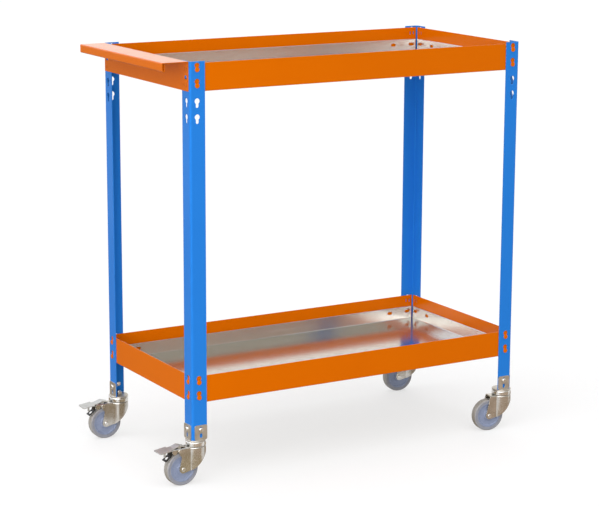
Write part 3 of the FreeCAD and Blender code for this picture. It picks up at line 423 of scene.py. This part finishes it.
@dataclass(frozen=True)
class MouldedPolymer(Finish):
    """Rubber or nylon from a steel mould.

    A matt, slightly clouded skin with the fine grain of the eroded mould. Where it runs on the floor,
    which the piece marks with its tread attribute, it is painted paler and warmer: painted light and
    painted reflection of the warm surroundings.
    """

    colour: str
    cloud_colour: str
    # Colour of the tread: painted light and painted reflection of the warm surroundings
    tread_painted_light_colour: str
    roughness: float
    # How far the roughness strays down and up
    polish: float = 0.05
    dulling: float = 0.08
    specular: float = 0.5
    cloud_mm: float = 9.0
    # Real mould grain is about a tenth of a millimetre across, drawn coarser so that it shows
    grain_mm: float = 0.7
    grain_detail: float = 2.0
    grain_depth_mm: float = 0.05
    grain_strength: float = 0.25

    def shade(self, tree: bpy.types.NodeTree) -> bpy.types.Node:
        """Build the moulded skin.

        Args:
            tree: Node tree to build in.

        Returns:
            The shader node.
        """
        place = add_node(tree, "TexCoord").outputs["Object"]
        cloud, body = clouded(tree, place, self.cloud_mm, self.colour, self.cloud_colour)
        tread = add_node(tree, "Attribute", attribute_name=TREAD)
        # The tread takes its painted light and reflection colour
        skin = add_node(tree, "Mix", {0: tread.outputs["Fac"], MIX_A: body, MIX_B: linear(self.tread_painted_light_colour)},
                        data_type="RGBA")
        grain = add_node(tree, "TexNoise", {"Vector": place, "Scale": per_metre(self.grain_mm),
                                            "Detail": self.grain_detail})
        gloss = add_node(tree, "MapRange", {"Value": cloud, "From Min": NOISE_LOW, "From Max": NOISE_HIGH,
                                            "To Min": self.roughness - self.polish,
                                            "To Max": self.roughness + self.dulling})
        relief = add_node(tree, "Bump", {"Height": grain.outputs["Fac"], "Strength": self.grain_strength,
                                         "Distance": self.grain_depth_mm * MM})
        return add_node(tree, "BsdfPrincipled", {"Base Color": skin.outputs[MIX_COLOUR],
                                                 "Roughness": gloss.outputs[0], "IOR": POLYMER_IOR,
                                                 "Specular IOR Level": self.specular,
                                                 "Normal": relief.outputs[0]})


@dataclass(frozen=True)
class StudioPaper(Finish):
    """Seamless studio paper: matt, even and faintly fibrous.

    The camera and reflections see it in its own colour, with the table's shadow on it where its glow
    is below 1. The light that it throws around has its bounce colour, so that the underside of the
    table can stay in shade.
    """

    colour: str
    bounce_colour: str
    glow: float
    level: float = 1.0
    roughness: float = 0.9
    specular: float = 0.1
    fibre_mm: float = 3.0
    fibre_depth_mm: float = 0.1
    fibre_strength: float = 0.02

    def shade(self, tree: bpy.types.NodeTree) -> bpy.types.Node:
        """Build the paper.

        Args:
            tree: Node tree to build in.

        Returns:
            The shader node.
        """
        place = add_node(tree, "TexCoord").outputs["Object"]
        fibre = add_node(tree, "TexNoise", {"Vector": place, "Scale": per_metre(self.fibre_mm)})
        relief = add_node(tree, "Bump", {"Height": fibre.outputs["Fac"], "Strength": self.fibre_strength,
                                         "Distance": self.fibre_depth_mm * MM})
        seen = seen_directly(tree)
        tone = add_node(tree, "Mix", {0: seen, MIX_A: linear(self.bounce_colour),
                                      MIX_B: linear(self.colour)}, data_type="RGBA")
        matt = add_node(tree, "BsdfPrincipled", {"Base Color": tone.outputs[MIX_COLOUR],
                                                 "Roughness": self.roughness,
                                                 "Specular IOR Level": self.specular,
                                                 "Normal": relief.outputs[0]})
        lit = add_node(tree, "Emission", {"Color": linear(self.colour), "Strength": self.level})
        share = add_node(tree, "Math", {0: seen, 1: self.glow}, operation="MULTIPLY")
        return add_node(tree, "MixShader", {0: share.outputs[0], 1: matt.outputs[0], 2: lit.outputs[0]})


def reflected_paper(name: str, colour: str, level: float = 1.0) -> StudioPaper:
    """Paper of one colour and level of light, for what only reflections see."""
    return StudioPaper(name, colour, colour, glow=1.0, level=level)


class FinishShelf:
    """All finishes of the table, each made into a material once."""

    ORANGE = PowderCoat("powder_coat_orange", colour="E06D00", deep_colour="DC6900", edge_colour="EC8A38",
                        sheen_colour="E87818")
    BLUE = PowderCoat("powder_coat_blue", colour="2A82DD", deep_colour="287DD8", edge_colour="62A4EA",
                      sheen_colour="2C86E4", roughness=0.2)
    # The trays' paler wall colour is painted light and their darker floor colour painted shade
    TRAY = GalvanisedSheet("galvanised_sheet_skin_passed", colour="C8C6C2", deep_colour="BEBCB8",
                           painted_light_wall_colour="DCD9D4")
    FORK_ZINC = ZincPlate("zinc_plate_passivated", colour="CECBC6", cloud_colour="BCB8B0",
                          edge_colour="E6E4E0", roughness=0.22)
    SATIN_ZINC = ZincPlate("zinc_plate_satin", colour="D0CBC3", cloud_colour="C0BAB0", edge_colour="EAE6E0",
                           roughness=0.42)
    BRIGHT_ZINC = ZincPlate("zinc_plate_bright", colour="E2E0DC", cloud_colour="D0CECA",
                            edge_colour="F2F0EE", roughness=0.2)
    MATT_ZINC = ZincPlate("zinc_plate_matt", colour="C8C9C8", cloud_colour="BABBBA", edge_colour="DEDDDD",
                          roughness=0.45)
    DARK_STEEL = ZincPlate("spring_steel_blackened", colour="3A3734", cloud_colour="2C2A28",
                           edge_colour="5C5854", roughness=0.4)
    # The tyre's paler, warmer tread colour is painted light and painted reflection
    TYRE = MouldedPolymer("thermoplastic_rubber_moulded_grey", colour="9A9BA4", cloud_colour="90919A",
                          tread_painted_light_colour="9E9992", roughness=0.42)
    CORE = MouldedPolymer("polyamide_moulded_blue_grey", colour="8E98B2", cloud_colour="858FA9",
                          tread_painted_light_colour="8E98B2", roughness=0.3)

    def __init__(self) -> None:
        """Start with no materials made."""
        self._made: Dict[str, bpy.types.Material] = {}

    def material(self, finish: Finish) -> bpy.types.Material:
        """Material of a finish, made on first use.

        Args:
            finish: Finish to look up.

        Returns:
            Its material.
        """
        if finish.name not in self._made:
            self._made[finish.name] = finish.build()
        return self._made[finish.name]

    def dress(self, piece: bpy.types.Object, finish: Finish) -> None:
        """Give a piece one finish all over."""
        piece.data.materials.clear()
        piece.data.materials.append(self.material(finish))


# Start and end of a node's name, and its finish; the first line that fits holds
NODE_FINISHES: Tuple[Tuple[str, str, Finish], ...] = (
    ("post_", "", FinishShelf.BLUE),
    ("", "_rail", FinishShelf.ORANGE),
    ("push_handle", "", FinishShelf.ORANGE),
    ("", "_tray", FinishShelf.TRAY),
    ("", "_tyre", FinishShelf.TYRE),
    ("", "_wheel_core", FinishShelf.CORE),
    ("", "_brake_shoe", FinishShelf.DARK_STEEL),
    ("", "_brake_pedal", FinishShelf.MATT_ZINC),
    ("", "_fork", FinishShelf.FORK_ZINC),
    ("caster_bracket_", "", FinishShelf.SATIN_ZINC),
    ("", "", FinishShelf.BRIGHT_ZINC),
)


class Bench:
    """Hand tools for modelling a new piece in edit mode."""

    @staticmethod
    def clear() -> None:
        """Leave edit mode and deselect everything."""
        if bpy.context.mode != "OBJECT":
            bpy.ops.object.mode_set(mode="OBJECT")
        bpy.ops.object.select_all(action="DESELECT")

    @staticmethod
    def pick(piece: bpy.types.Object) -> None:
        """Make one piece the only selected and active one.

        Args:
            piece: Piece to pick.
        """
        Bench.clear()
        piece.select_set(True)
        bpy.context.view_layer.objects.active = piece

    @staticmethod
    def cylinder(name: str, radius: float, length: float, sides: int) -> bpy.types.Object:
        """Start a turned piece from a cylinder along Y, in edit mode.

        Args:
            name: Name of the piece.
            radius: Its radius in metres.
            length: Its length in metres.
            sides: Number of sides.

        Returns:
            The new object.
        """
        Bench.clear()
        bpy.ops.mesh.primitive_cylinder_add(vertices=sides, radius=radius, depth=length,
                                            end_fill_type="NGON", rotation=(math.pi / 2, 0.0, 0.0))
        piece = bpy.context.object
        piece.name = name
        piece.data.name = name
        bpy.ops.object.transform_apply(location=True, rotation=True, scale=True)
        bpy.ops.object.mode_set(mode="EDIT")
        return piece

    @staticmethod
    def select_faces(piece: bpy.types.Object, test: Callable[[bmesh.types.BMFace], bool]) -> None:
        """Select only the faces that pass a test.

        Args:
            piece: Piece in edit mode.
            test: True for a face to select.
        """
        bpy.ops.mesh.select_mode(type="FACE")
        bpy.ops.mesh.select_all(action="DESELECT")
        shape = bmesh.from_edit_mesh(piece.data)
        for face in shape.faces:
            face.select_set(test(face))
        bmesh.update_edit_mesh(piece.data)

    @staticmethod
    def select_edges(piece: bpy.types.Object, test: Callable[[bmesh.types.BMEdge], bool]) -> None:
        """Select only the edges that pass a test.

        Args:
            piece: Piece in edit mode.
            test: True for an edge to select.
        """
        bpy.ops.mesh.select_mode(type="EDGE")
        bpy.ops.mesh.select_all(action="DESELECT")
        shape = bmesh.from_edit_mesh(piece.data)
        for edge in shape.edges:
            edge.select_set(test(edge))
        bmesh.update_edit_mesh(piece.data)

    @staticmethod
    def is_end(face: bmesh.types.BMFace) -> bool:
        """True for either end face of a turned piece: square to Y, with its middle on the axis."""
        middle = face.calc_center_median()
        return abs(face.normal.y) > SQUARE and math.hypot(middle.x, middle.z) < ON_AXIS

    @staticmethod
    def step_in(piece: bpy.types.Object, steps: Sequence[Tuple[float, float]]) -> None:
        """Work rings into both end faces.

        Args:
            piece: Turned piece in edit mode.
            steps: Width and rise of each ring, from the rim inwards, in metres.
        """
        for side in (-1, 1):
            Bench.select_faces(piece, lambda face: Bench.is_end(face) and face.normal.y * side > 0)
            for width, rise in steps:
                bpy.ops.mesh.inset(thickness=width, depth=rise, use_even_offset=True)

    @staticmethod
    def bore(piece: bpy.types.Object) -> None:
        """Open both end faces and join their rims into a bore.

        Args:
            piece: Turned piece in edit mode.
        """
        Bench.select_faces(piece, Bench.is_end)
        bpy.ops.mesh.delete(type="FACE")
        Bench.select_edges(piece, lambda edge: edge.is_boundary)
        bpy.ops.mesh.bridge_edge_loops()

    @staticmethod
    def smooth() -> None:
        """Smooth the active piece, all but its sharp edges."""
        bpy.ops.object.shade_smooth_by_angle(angle=math.radians(SHARP_DEGREES))

    @staticmethod
    def close() -> None:
        """Face the active piece's normals outwards, leave edit mode and smooth it."""
        bpy.ops.mesh.select_all(action="SELECT")
        bpy.ops.mesh.normals_make_consistent(inside=False)
        bpy.ops.object.mode_set(mode="OBJECT")
        Bench.smooth()

    @staticmethod
    def soften(piece: bpy.types.Object, width: float, segments: int) -> None:
        """Round the sharp edges of a piece and smooth it again.

        Args:
            piece: Piece to soften.
            width: Width of the rounding in metres.
            segments: Steps across it.
        """
        bevel = piece.modifiers.new("soften", "BEVEL")
        bevel.width = width
        bevel.segments = segments
        bevel.limit_method = "ANGLE"
        bevel.angle_limit = math.radians(ROUNDED_DEGREES)
        Bench.pick(piece)
        bpy.ops.object.modifier_apply(modifier=bevel.name)
        Bench.smooth()

    @staticmethod
    def copy_to(pattern: bpy.types.Object, name: str, place: Vector, axis: Vector) -> bpy.types.Object:
        """Copy a turned piece to a place, its Y axis along another axis, with the place in its mesh.

        Args:
            pattern: Piece to copy.
            name: Name of the copy.
            place: Where its middle goes.
            axis: Direction that its own Y axis takes.

        Returns:
            The copy.
        """
        copy = pattern.copy()
        copy.data = pattern.data.copy()
        copy.name = name
        copy.data.name = name
        bpy.context.scene.collection.objects.link(copy)
        turn = Vector((0.0, 1.0, 0.0)).rotation_difference(axis).to_matrix().to_4x4()
        copy.matrix_world = Matrix.Translation(place) @ turn
        Bench.pick(copy)
        bpy.ops.object.transform_apply(location=True, rotation=True, scale=True)
        return copy

    @staticmethod
    def discard(pattern: bpy.types.Object) -> None:
        """Remove a pattern once its copies are made."""
        bpy.data.objects.remove(pattern, do_unlink=True)


def joint_named(name: str) -> Dict[str, Any]:
    """Joint of the solid model by its name."""
    return next(joint for joint in frame["joints"] if joint["name"] == name)


def seat(piece: bpy.types.Object, body: str, stands_for: str) -> None:
    """Fix a new piece to a body and hide the solid that it stands for.

    Args:
        piece: New piece, in its place.
        body: Body of the solid model that it moves with.
        stands_for: Node of the solid model that it replaces.
    """
    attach(piece, body)
    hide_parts(stands_for)
    LOG.info("%s rides on %s", piece.name, body)


@dataclass
class Wheels:
    """Tyres and wheel centres of the four casters. Sizes in millimetres."""

    shelf: FinishShelf
    radius: float = 40.0
    width: float = 20.0
    shoulder: float = 3.5
    shoulder_segments: int = 7
    core_radius: float = 31.0
    core_width: float = 19.0
    core_rounding: float = 0.5
    rounding_segments: int = 3
    ring_inset: float = 1.5
    ring_width: float = 2.0
    ring_depth: float = 0.8
    wall_step: float = 0.15
    rim_width: float = 3.5
    web_recess: float = 2.0
    web_slope: float = 1.2
    hub_radius: float = 13.0
    hub_length: float = 21.0
    bore_radius: float = 5.05
    mould_line: float = 0.5
    mould_depth: float = 0.25
    sides: int = 128

    def build(self) -> None:
        """Model one tyre and one centre, then fit a copy of each to every caster."""
        tyre = self.tyre()
        core = self.core()
        for corner in Corner:
            joint = joint_named(corner.value + "_roll")
            place = Vector(joint["pos_m"])
            axis = Vector(joint["axis"])
            body = corner.value + "_wheel"
            for pattern, part, finish, slot in ((tyre, "tyre", FinishShelf.TYRE, Slot.TYRE),
                                                (core, "wheel_core", FinishShelf.CORE, Slot.CORE)):
                node = corner.value + "_" + part
                piece = Bench.copy_to(pattern, node + "_moulded", place, axis)
                self.shelf.dress(piece, finish)
                seat(piece, body, node)
        Bench.discard(tyre)
        Bench.discard(core)

    def tyre(self) -> bpy.types.Object:
        """Model the tyre: round shoulders, a ring in each side and the mould's parting line.

        Returns:
            The tyre about the Y axis.
        """
        radius = self.radius * MM
        piece = Bench.cylinder("tyre_pattern", radius, self.width * MM, self.sides)

        def on_rim(edge: bmesh.types.BMEdge) -> bool:
            """True for an edge round either end of the tread."""
            first, last = (vert.co for vert in edge.verts)
            return abs(first.y - last.y) < NEAR and math.hypot(first.x, first.z) > radius - NEAR

        Bench.select_edges(piece, on_rim)
        bpy.ops.mesh.bevel(offset=self.shoulder * MM, segments=self.shoulder_segments, affect="EDGES")
        # Two cuts bound the parting line, and the third becomes its floor
        for cut in (-self.mould_line, self.mould_line, 0.0):
            bpy.ops.mesh.select_all(action="SELECT")
            bpy.ops.mesh.bisect(plane_co=(0.0, cut * MM, 0.0), plane_no=(0.0, 1.0, 0.0))
        Bench.select_edges(piece, lambda edge: all(abs(vert.co.y) < NEAR for vert in edge.verts))
        shrink = 1.0 - self.mould_depth / self.radius
        bpy.ops.transform.resize(value=(shrink, 1.0, shrink), center_override=(0.0, 0.0, 0.0))
        flat = self.radius - self.shoulder - self.core_radius
        last_ring = flat - self.ring_inset - self.ring_width - 2 * self.wall_step
        step = self.wall_step * MM
        depth = self.ring_depth * MM
        Bench.step_in(piece, [(self.ring_inset * MM, 0.0), (step, -depth), (self.ring_width * MM, 0.0),
                              (step, depth), (last_ring * MM, 0.0)])
        Bench.bore(piece)
        Bench.close()
        self.mark_tread(piece)
        return piece

    def mark_tread(self, tyre: bpy.types.Object) -> None:
        """Mark the points of the tread and its shoulders for the finish.

        Args:
            tyre: Tyre about the Y axis.
        """
        mark = tyre.data.attributes.new(TREAD, "FLOAT", "POINT")
        start = (self.radius - self.shoulder) * MM
        for vert, value in zip(tyre.data.vertices, mark.data):
            reach = math.hypot(vert.co.x, vert.co.z) - start
            value.value = min(1.0, max(0.0, reach / (self.shoulder * MM)))

    def core(self) -> bpy.types.Object:
        """Model the wheel centre: a rim, a dished web and a raised hub, with moulded roundings.

        Returns:
            The centre about the Y axis.
        """
        piece = Bench.cylinder("core_pattern", self.core_radius * MM, self.core_width * MM, self.sides)
        web = self.core_radius - self.rim_width - 2 * self.web_slope - self.hub_radius
        hub_rise = self.web_recess + (self.hub_length - self.core_width) / 2
        hub_wall = self.hub_radius - self.bore_radius
        Bench.step_in(piece, [(self.rim_width * MM, 0.0), (self.web_slope * MM, -self.web_recess * MM),
                              (web * MM, 0.0), (self.web_slope * MM, hub_rise * MM), (hub_wall * MM, 0.0)])
        Bench.bore(piece)
        Bench.close()
        Bench.soften(piece, self.core_rounding * MM, self.rounding_segments)
        return piece


@dataclass
class Dressing:
    """Finishes of the solid model's own pieces."""

    shelf: FinishShelf

    def finish_of(self, node: str) -> Finish:
        """Finish of a node of the solid model, by its name."""
        return next(finish for start, end, finish in NODE_FINISHES
                    if node.startswith(start) and node.endswith(end))

    def apply(self) -> None:
        """Dress every node of the solid model."""
        for name, node in frame["nodes"].items():
            self.shelf.dress(node, self.finish_of(name))
            LOG.info("%s dressed", name)


@dataclass
class Studio:
    """White studio: paper, soft lamps and the camera. Lengths in metres, angles in degrees."""

    shelf: FinishShelf
    floor_size: float = 60.0
    paper: StudioPaper = StudioPaper("seamless_paper_white", WHITE, "9C9C9C", glow=0.6)
    grey_wall: StudioPaper = reflected_paper("studio_paper_grey", "C0B9AA")
    white_wall: StudioPaper = reflected_paper("studio_paper_lit", "FFFCF6", level=1.2)
    window: StudioPaper = reflected_paper("studio_window", "F2F6FF", level=1.7)
    card: StudioPaper = reflected_paper("studio_card_tan", "9E896A")
    pale_card: StudioPaper = reflected_paper("studio_card_sand", "C2B294")
    warm_card: StudioPaper = reflected_paper("studio_card_fawn", "C6B19D")
    wall_distance: float = 7.0
    wall_size: float = 9.0
    window_sill: float = 0.5
    card_height: float = 0.0005
    sky_level: float = 0.6
    camera_place: Point = (-2.42718, -4.16989, 1.49675)
    camera_yaw: float = 30.2308
    camera_pitch: float = -12.0887
    camera_roll: float = 0.2333
    focal_pixels: float = 2004.39
    image_width: int = 599
    sensor_mm: float = 36.0

    def build(self) -> None:
        """Set up the floor, the light, what the metal reflects, the camera and the view transform."""
        self.floor()
        self.sky()
        self.lights()
        self.walls()
        self.cards()
        self.camera()
        bpy.context.scene.view_settings.view_transform = "Standard"

    def floor(self) -> None:
        """Lay the paper under the wheels."""
        Bench.clear()
        bpy.ops.mesh.primitive_plane_add(size=self.floor_size)
        floor = bpy.context.object
        floor.name = "studio_floor"
        self.shelf.dress(floor, self.paper)

    def sky(self) -> None:
        """Light from all round, seen as white by the camera and in reflections."""
        world = bpy.data.worlds.new("white_studio")
        world.use_nodes = True
        tree = world.node_tree
        tree.nodes.clear()
        level = add_node(tree, "MapRange", {"Value": seen_directly(tree), "To Min": self.sky_level,
                                            "To Max": 1.0})
        light = add_node(tree, "Background", {"Color": linear(WHITE), "Strength": level.outputs[0]})
        add_node(tree, "OutputWorld", {"Surface": light.outputs[0]})
        bpy.context.scene.world = world

    def lights(self) -> None:
        """Light the table from above, from both sides, from behind it and from behind the camera."""
        self.sun("ceiling_light", towards=(-0.75, -0.65, 1.0), spread=100.0, strength=1.8)
        self.sun("window_light", towards=(0.85, -0.5, 0.16), spread=30.0, strength=0.15)
        self.sun("back_light", towards=(0.5, 0.85, 0.35), spread=60.0, strength=0.7, mirrored=False)
        self.softbox("left_softbox", place=(-2.4, -1.7, 0.8), target=(0.0, -0.1, 0.5), size=1.4, watts=20.0)
        self.softbox("camera_softbox", place=(-3.2, -5.5, 0.9), target=(0.0, 0.0, 0.5), size=2.0, watts=38.0)

    def walls(self) -> None:
        """Stand walls far round the table for the metal to reflect."""
        self.wall("grey_wall", towards=(0.5, -0.86), paper=self.grey_wall)
        self.wall("white_wall", towards=(0.5, 0.86), paper=self.white_wall)
        self.wall("window", towards=(-0.5, 0.86), paper=self.window,
                  middle_height=self.window_sill + self.wall_size / 2)

    def cards(self) -> None:
        """Lay cards round and under the table for the metal to reflect."""
        self.floor_card("front_card", low=(-3.0, -4.0), high=(4.0, -0.43), paper=self.warm_card)
        self.floor_card("middle_card", low=(-0.5, -0.22), high=(1.2, 0.04), paper=self.card)
        self.floor_card("left_card", low=(-3.0, 0.0), high=(-0.55, 2.6), paper=self.card)
        # Painted shade: a tan sheet for the table's shade on the floor behind it, seen only in reflections
        self.floor_card("back_shade_card", low=(-0.55, 0.5), high=(0.6, 4.0), paper=self.card)
        self.floor_card("far_left_card", low=(-7.0, 2.6), high=(-1.2, 14.0), paper=self.pale_card)
        self.floor_card("near_card", low=(-0.6, -0.43), high=(-0.26, -0.26), paper=self.pale_card)
        self.floor_card("right_card", low=(0.28, -0.43), high=(0.75, -0.26), paper=self.warm_card)

    def sun(self, name: str, towards: Point, spread: float, strength: float, mirrored: bool = True) -> None:
        """Add broad even light from one side.

        Args:
            name: Name of the light.
            towards: Direction from the table to the light.
            spread: Angle that the light fills, in degrees.
            strength: Its power on a square metre that faces it.
            mirrored: Whether it also shows in reflections.
        """
        data = bpy.data.lights.new(name, "SUN")
        data.angle = math.radians(spread)
        data.energy = strength
        light = bpy.data.objects.new(name, data)
        bpy.context.scene.collection.objects.link(light)
        light.rotation_euler = (-Vector(towards)).to_track_quat("-Z", "Y").to_euler()
        light.visible_glossy = mirrored

    def softbox(self, name: str, place: Point, target: Point, size: float, watts: float) -> None:
        """Hang one square softbox.

        Args:
            name: Name of the lamp.
            place: Where it hangs.
            target: Point that it faces.
            size: Length of its side.
            watts: Its power.
        """
        data = bpy.data.lights.new(name, "AREA")
        data.size = size
        data.energy = watts
        lamp = bpy.data.objects.new(name, data)
        bpy.context.scene.collection.objects.link(lamp)
        lamp.location = place
        aim = Vector(target) - Vector(place)
        lamp.rotation_euler = aim.to_track_quat("-Z", "Y").to_euler()

    def wall(self, name: str, towards: Plan, paper: StudioPaper, middle_height: float = 0.0) -> None:
        """Stand a paper wall out of the picture, which only reflections see.

        Args:
            name: Name of the wall.
            towards: Level direction from the table to the wall.
            paper: Its finish.
            middle_height: Height of its middle.
        """
        facing = Vector((-towards[0], -towards[1], 0.0)).normalized()
        middle = -facing * self.wall_distance + Vector((0.0, 0.0, middle_height))
        turn = facing.to_track_quat("Z", "Y").to_matrix().to_4x4()
        self.reflector(name, Matrix.Translation(middle) @ turn @ Matrix.Scale(self.wall_size, 4), paper)

    def floor_card(self, name: str, low: Plan, high: Plan, paper: StudioPaper) -> None:
        """Lay a card on the floor, which only reflections see.

        Args:
            name: Name of the card.
            low: Its lowest X and Y.
            high: Its highest X and Y.
            paper: Its finish.
        """
        middle = Vector(((low[0] + high[0]) / 2, (low[1] + high[1]) / 2, self.card_height))
        size = Matrix.Diagonal((high[0] - low[0], high[1] - low[1], 1.0, 1.0))
        self.reflector(name, Matrix.Translation(middle) @ size, paper)

    def reflector(self, name: str, place: Matrix, paper: StudioPaper) -> None:
        """Put up a sheet of paper that gives the metal something to reflect and is never seen itself.

        Args:
            name: Name of the sheet.
            place: Place, turn and size of a unit square.
            paper: Its finish.
        """
        Bench.clear()
        bpy.ops.mesh.primitive_plane_add(size=1.0)
        sheet = bpy.context.object
        sheet.name = name
        sheet.matrix_world = place
        bpy.ops.object.transform_apply(location=True, rotation=True, scale=True)
        sheet.visible_camera = False
        sheet.visible_diffuse = False
        sheet.visible_shadow = False
        self.shelf.dress(sheet, paper)

    def camera(self) -> None:
        """Stand the camera where the photograph was taken from."""
        data = bpy.data.cameras.new("photo_camera")
        data.sensor_fit = "HORIZONTAL"
        data.sensor_width = self.sensor_mm
        data.lens = self.focal_pixels / self.image_width * self.sensor_mm
        camera = bpy.data.objects.new("photo_camera", data)
        bpy.context.scene.collection.objects.link(camera)
        yaw = math.radians(self.camera_yaw)
        pitch = math.radians(self.camera_pitch)
        forward = Vector((math.sin(yaw) * math.cos(pitch), math.cos(yaw) * math.cos(pitch), math.sin(pitch)))
        level = Vector((math.cos(yaw), -math.sin(yaw), 0.0))
        right = Matrix.Rotation(math.radians(self.camera_roll), 3, -forward) @ level
        up = right.cross(forward)
        basis = Matrix((right, up, -forward)).transposed().to_4x4()
        camera.matrix_world = Matrix.Translation(Vector(self.camera_place)) @ basis
        bpy.context.scene.camera = camera


def main() -> None:
    """Dress the solids, model the new pieces and set up the studio."""
    logging.basicConfig(level=logging.INFO, format="%(name)s: %(message)s")
    shelf = FinishShelf()
    Dressing(shelf).apply()
    Wheels(shelf).build()
    Studio(shelf).build()


if __name__ == "__main__":
    main()
